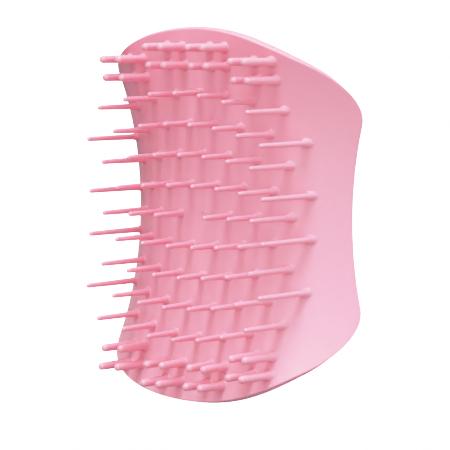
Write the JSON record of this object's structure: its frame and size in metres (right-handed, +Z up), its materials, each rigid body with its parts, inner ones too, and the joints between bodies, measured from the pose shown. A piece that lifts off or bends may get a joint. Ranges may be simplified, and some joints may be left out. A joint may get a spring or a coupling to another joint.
{
  "type": "scalp massager brush",
  "caption": "Palm-held scalp massager: a waisted saddle-shaped plate with staggered thin teeth and groups of thick fingers at both ends, closed by a hollow domed cover.",
  "frame": {"origin": "middle of the bottom of the brush, stood on its lower end", "axes": "+Z up along the brush's length, -Y the way the teeth point, +X across the brush"},
  "size_m": [0.0694, 0.0458, 0.09],
  "materials": {
    "plate_plastic": "satin moulded thermoplastic, pink",
    "teeth_plastic": "satin flexible thermoplastic, pink",
    "cover_plastic": "smooth semi-gloss moulded plastic, pink"
  },
  "bodies": {
    "root": {"tooth_plate": "plate_plastic", "back_cover": "cover_plastic", "tooth_row_1": "teeth_plastic", "tooth_row_2": "teeth_plastic", "tooth_row_3": "teeth_plastic", "tooth_row_4": "teeth_plastic", "tooth_row_5": "teeth_plastic", "tooth_row_6": "teeth_plastic", "tooth_row_7": "teeth_plastic", "tooth_row_8": "teeth_plastic", "tooth_row_9": "teeth_plastic", "top_fingers_outer_left": "teeth_plastic", "top_fingers_inner_left": "teeth_plastic", "top_fingers_inner_right": "teeth_plastic", "top_fingers_outer_right": "teeth_plastic", "bottom_fingers_outer_left": "teeth_plastic", "bottom_fingers_inner_left": "teeth_plastic", "bottom_fingers_inner_right": "teeth_plastic", "bottom_fingers_outer_right": "teeth_plastic", "gate_mark": "plate_plastic", "plate_pegs": "plate_plastic", "cover_sockets": "cover_plastic"}
  },
  "joints": []
}
